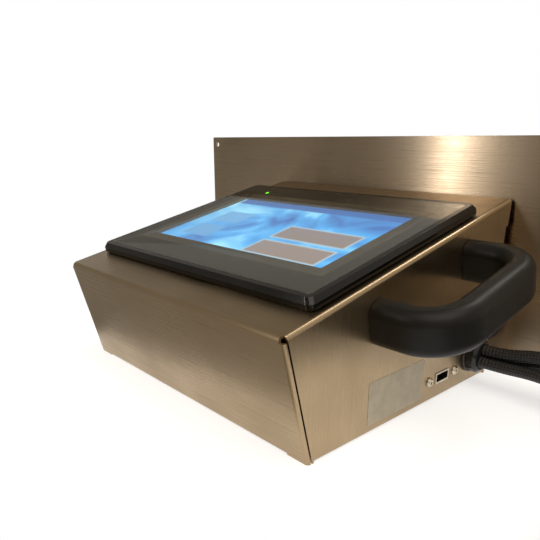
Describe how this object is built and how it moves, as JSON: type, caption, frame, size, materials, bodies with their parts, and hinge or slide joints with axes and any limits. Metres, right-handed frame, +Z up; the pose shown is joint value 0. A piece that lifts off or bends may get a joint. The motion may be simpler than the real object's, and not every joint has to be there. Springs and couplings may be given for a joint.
{
  "type": "touch-screen operator console",
  "caption": "Folded stainless operator console with a sloping touch screen, side handle, panel socket and cabled gland, hinged to a wide back plate.",
  "frame": {"origin": "middle of the footprint of the console and its back plate, at the level of the floor it stands on", "axes": "+X to the right of a person facing the screen, +Y from that person towards the back plate, +Z up"},
  "size_m": [0.6368, 0.2591, 0.155],
  "materials": {
    "brushed_stainless": "brushed",
    "bright_steel": "polished",
    "dark_plastic": "matte",
    "bezel_black": "satin",
    "clear_film": "gloss",
    "display": "gloss",
    "green_lamp": "gloss",
    "black_rubber": "matte",
    "board_green": "satin",
    "terminal_green": "matte",
    "handle_black": "satin",
    "gland_black": "satin",
    "hinge_steel": "satin",
    "lead_sheath": "satin",
    "braided_sleeve": "matte",
    "plug_black": "satin",
    "strap_black": "matte"
  },
  "bodies": {
    "console": {"cover": "brushed_stainless", "base_plate": "brushed_stainless", "base_screws": "bright_steel", "base_nuts": "bright_steel", "board_screws": "bright_steel", "clamp_screws": "bright_steel", "terminal_clamps": "dark_plastic", "terminal_bezel": "bezel_black", "touch_film": "clear_film", "display_panel": "display", "power_lamp": "green_lamp", "terminal_gasket": "black_rubber", "terminal_case": "dark_plastic", "circuit_board": "board_green", "power_terminal_block": "terminal_green", "data_socket": "bright_steel", "network_socket": "bright_steel", "data_plug": "dark_plastic", "network_plug": "dark_plastic", "usb_lead_plug": "dark_plastic", "handle": "handle_black", "handle_washers": "bright_steel", "handle_screws": "bright_steel", "usb_housing": "dark_plastic", "usb_shell": "bright_steel", "usb_tongue": "dark_plastic", "usb_screws": "bright_steel", "usb_nuts": "bright_steel", "gland_body": "gland_black", "gland_cap": "gland_black", "gland_seal": "black_rubber", "gland_locknut": "gland_black", "hinge_leaf_cover": "hinge_steel", "hinge_pin": "hinge_steel", "buffers": "black_rubber", "buffer_nuts": "bright_steel", "power_lead": "lead_sheath", "data_lead": "lead_sheath", "network_lead": "lead_sheath", "usb_lead": "lead_sheath", "cable_a": "braided_sleeve", "coil_a": "braided_sleeve", "cable_tail_a": "braided_sleeve", "plug_a": "plug_black", "tie_a": "strap_black", "cable_b": "braided_sleeve", "coil_b": "braided_sleeve", "cable_tail_b": "braided_sleeve", "plug_b": "plug_black", "tie_b": "strap_black", "cable_c": "braided_sleeve", "coil_c": "braided_sleeve", "cable_tail_c": "braided_sleeve", "plug_c": "plug_black", "tie_c": "strap_black"},
    "back_plate": {"back_plate": "brushed_stainless", "hinge_leaf_plate": "hinge_steel", "hinge_rivets": "hinge_steel"}
  },
  "joints": [
    {"name": "rear_hinge", "type": "hinge", "parent": "console", "child": "back_plate", "pos_m": [0, 0.09773, 0.11227], "axis": [1, 0, 0], "range_deg": [0, 30]}
  ]
}
